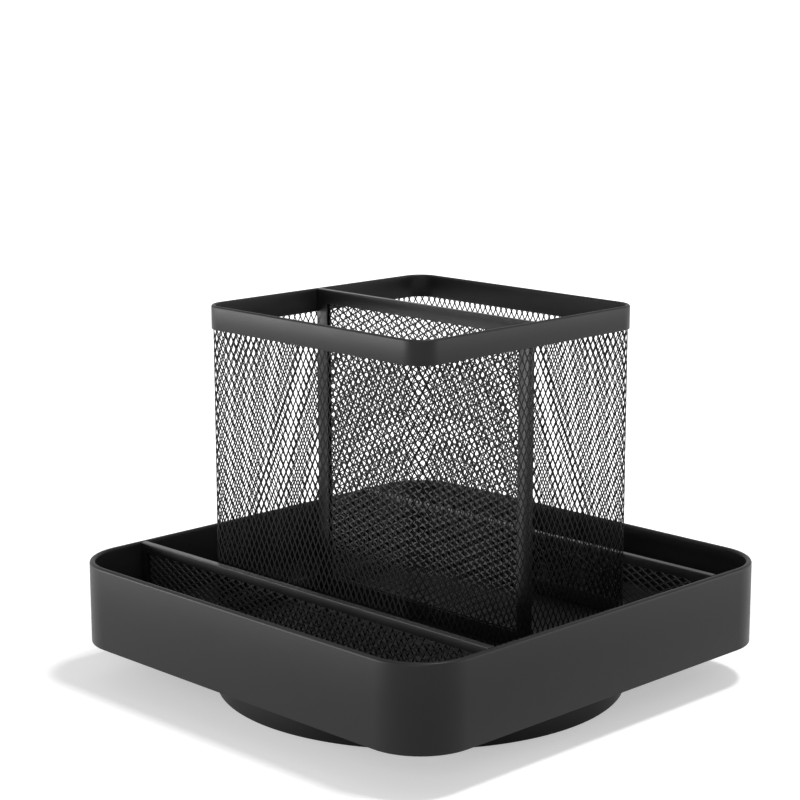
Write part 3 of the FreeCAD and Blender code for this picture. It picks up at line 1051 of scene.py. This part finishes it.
@dataclass
class PenCup:
    """The pen cup: two folded bands and the net between them."""

    finishes: Finishes
    corner: float = 7.9 * MM
    sheet: float = 0.35 * MM
    net: ExpandedNet = field(default_factory=ExpandedNet)
    divider_band: float = 4.8 * MM
    divider_post: float = 5.0 * MM
    divider_foot: float = 5.5 * MM

    def build(self) -> None:
        """Model and seat the cup's pieces."""
        framed_net(self.finishes, "cup_divider", band=self.divider_band, post=self.divider_post,
                   foot=self.divider_foot)
        self.band("cup_rim", "cup_rim_band", at_top=True)
        self.band("cup_foot_band", "cup_foot_fold", at_top=False)
        self.walls()
        self.bends()

    def band(self, node: str, name: str, at_top: bool) -> None:
        """A folded band that grips the net's edge.

        Args:
            node: The CAD node that it replaces.
            name: Its name.
            at_top: Whether its hem is at the top.
        """
        low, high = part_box(node)
        depth = (high.y - low.y) / 2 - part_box("cup_divider_frame")[1].x
        hem, leg = (high.z, low.z) if at_top else (low.z, high.z)
        plan = SquarePlan(high.x - low.x, self.corner)
        item = FoldedBand(plan, hem, leg, leg, depth, self.sheet).build()
        dress(item, name, "carousel", self.finishes.band_coat, node)

    def walls(self) -> None:
        """The four flat nets."""
        low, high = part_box("cup_mesh_front")
        flat = self.net.panel(high.x - low.x, high.z - low.z, LongWay.UPRIGHT)
        Bench.stand_up(flat, (low.y + high.y) / 2, low.z)
        Bench.smooth(flat)
        for side in Side:
            wall = Bench.copy(flat)
            wall.rotation_euler = (0.0, 0.0, side.value * QUARTER_TURN)
            Bench.settle(wall)
            place = side.name.lower()
            dress(wall, f"cup_net_{place}", "carousel", self.finishes.mesh_coat,
                  f"cup_mesh_{place}")
        bpy.data.objects.remove(flat)

    def bends(self) -> None:
        """The net's four bends, which go on where the flat nets end."""
        low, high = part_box("cup_mesh_front")
        width, height = high.x - low.x, high.z - low.z
        centre = width / 2
        radius = -(low.y + high.y) / 2 - centre
        phase = self.net.counts(width, height, LongWay.UPRIGHT)[0] % 1
        bend = self.net.panel(radius * QUARTER_TURN, height, LongWay.UPRIGHT, phase)
        Bench.stand_up(bend, 0.0, 0.0)
        Bench.modify(bend, "SIMPLE_DEFORM", deform_method="BEND", deform_axis="Z", angle=QUARTER_TURN)
        corners = []
        for side in Side:
            corner = Bench.copy(bend)
            turn = (side.value + 0.5) * QUARTER_TURN
            outward = Vector((math.sin(turn), -math.cos(turn), 0.0))
            corner.rotation_euler = (0.0, 0.0, turn)
            corner.location = outward * (centre * math.sqrt(2) + radius) + Vector((0.0, 0.0, low.z))
            Bench.settle(corner)
            corners.append(corner)
        bpy.data.objects.remove(bend)
        joined = Bench.join(corners)
        Bench.smooth(joined)
        dress(joined, "cup_net_bends", "carousel", self.finishes.mesh_coat, "cup_mesh_corners")


@dataclass(frozen=True)
class SoftLamp:
    """A soft lamp that points at the organizer.

    Its turn is counted in degrees from the camera's side to the right, and its rise from the floor.
    """

    name: str
    turn: float
    rise: float
    width: float
    height: float
    power: float
    reach: float = 1.2
    aim_height: float = 50.0 * MM

    def light(self, camera_turn: float) -> None:
        """Hang the lamp.

        Args:
            camera_turn: Where the camera stands, in degrees about the turning axis.
        """
        light = bpy.data.lights.new(self.name, "AREA")
        light.shape = "RECTANGLE"
        light.size = self.width
        light.size_y = self.height
        light.energy = self.power
        item = bpy.data.objects.new(self.name, light)
        bpy.context.collection.objects.link(item)
        turn = math.radians(camera_turn + self.turn)
        rise = math.radians(self.rise)
        level = math.cos(rise) * self.reach
        item.location = (math.sin(turn) * level, -math.cos(turn) * level, math.sin(rise) * self.reach)
        beam = Vector((0.0, 0.0, self.aim_height)) - item.location
        item.rotation_euler = beam.to_track_quat("-Z", "Y").to_euler()


@dataclass
class Studio:
    """A pale floor, soft lamps and the camera."""

    floor_radius: float = 30.0
    floor_steps: int = 64
    floor_shade: float = 0.8
    floor_lift: float = 0.41
    shadow_reach: float = 0.17
    world_level: float = 0.3
    lamps: tuple[SoftLamp, ...] = (
        SoftLamp("overhead", turn=58.0, rise=71.5, width=0.18, height=0.18, power=8.0),
        SoftLamp("left", turn=-86.0, rise=4.0, width=1.0, height=0.16, power=13.0),
        SoftLamp("right", turn=88.0, rise=7.0, width=1.0, height=0.26, power=4.8),
        SoftLamp("front", turn=-8.0, rise=24.0, width=0.6, height=0.4, power=3.0),
    )
    lens: float = 96.2
    camera_reach: float = 699.6 * MM
    camera_height: float = 240.1 * MM
    camera_tilt: float = 11.54
    camera_turn: float = 45.0
    camera_clip: float = 100.0
    shift: float = -0.0258

    def build(self) -> None:
        """Make the stage."""
        self.floor()
        self.world()
        for lamp in self.lamps:
            lamp.light(self.camera_turn)
        self.camera()

    def floor(self) -> None:
        """A wide floor that looks white to the camera and keeps the shadow.

        The camera sees an added glow on it, which is weakest where the shadow lies. Emission sampling is
        off, because the glow is there to be seen and not to light the organizer.
        """
        Bench.clear_selection()
        bpy.ops.mesh.primitive_circle_add(vertices=self.floor_steps, radius=self.floor_radius,
                                          fill_type="NGON")
        item = bpy.context.active_object
        item.name = "studio_floor"
        sketch = NodeSketch(bpy.data.materials.new("studio_floor"))
        sketch.owner.cycles.emission_sampling = "NONE"
        paint = sketch.node("ShaderNodeBsdfDiffuse", None, {"Color": (*(self.floor_shade,) * 3, 1.0)})
        reach = sketch.node("ShaderNodeVectorMath", {"operation": "LENGTH"}, {0: sketch.place()}, "Value")
        far = ((reach - self.shadow_reach) * (1 / self.shadow_reach)).clamped(0.0, 1.0)
        colour = sketch.mixed(far, (self.floor_lift,) * 3, (1.0, 1.0, 1.0))
        lift = sketch.node("ShaderNodeEmission", None, {"Color": colour, "Strength": sketch.seen()})
        both = sketch.node("ShaderNodeAddShader", None, {0: paint, 1: lift})
        sketch.show(both, "ShaderNodeOutputMaterial")
        item.data.materials.append(sketch.owner)

    def world(self) -> None:
        """An even pale sky, white where the camera sees it."""
        world = bpy.data.worlds.new("studio")
        bpy.context.scene.world = world
        sketch = NodeSketch(world)
        level = sketch.seen() * (1.0 - self.world_level) + self.world_level
        sky = sketch.node("ShaderNodeBackground", None, {"Color": (1.0, 1.0, 1.0, 1.0), "Strength": level})
        sketch.show(sky, "ShaderNodeOutputWorld")

    def camera(self) -> None:
        """The camera at the photograph's place."""
        camera = bpy.data.cameras.new("camera")
        camera.lens = self.lens
        camera.shift_x = self.shift
        camera.clip_end = self.camera_clip
        item = bpy.data.objects.new("camera", camera)
        bpy.context.collection.objects.link(item)
        turn = math.radians(self.camera_turn)
        item.location = (math.sin(turn) * self.camera_reach, -math.cos(turn) * self.camera_reach,
                         self.camera_height)
        item.rotation_euler = (math.radians(90 - self.camera_tilt), 0.0, turn)
        bpy.context.scene.camera = item


def main() -> None:
    """Dress the whole organizer and set its stage."""
    logging.basicConfig(level=logging.INFO, format="%(name)s %(message)s")
    bpy.context.scene.view_settings.view_transform = "Standard"
    finishes = Finishes()
    finishes.coat_frame()
    TurnBase(finishes).build()
    TraySet(finishes).build()
    PenCup(finishes).build()
    Studio().build()


if __name__ == "__main__":
    main()
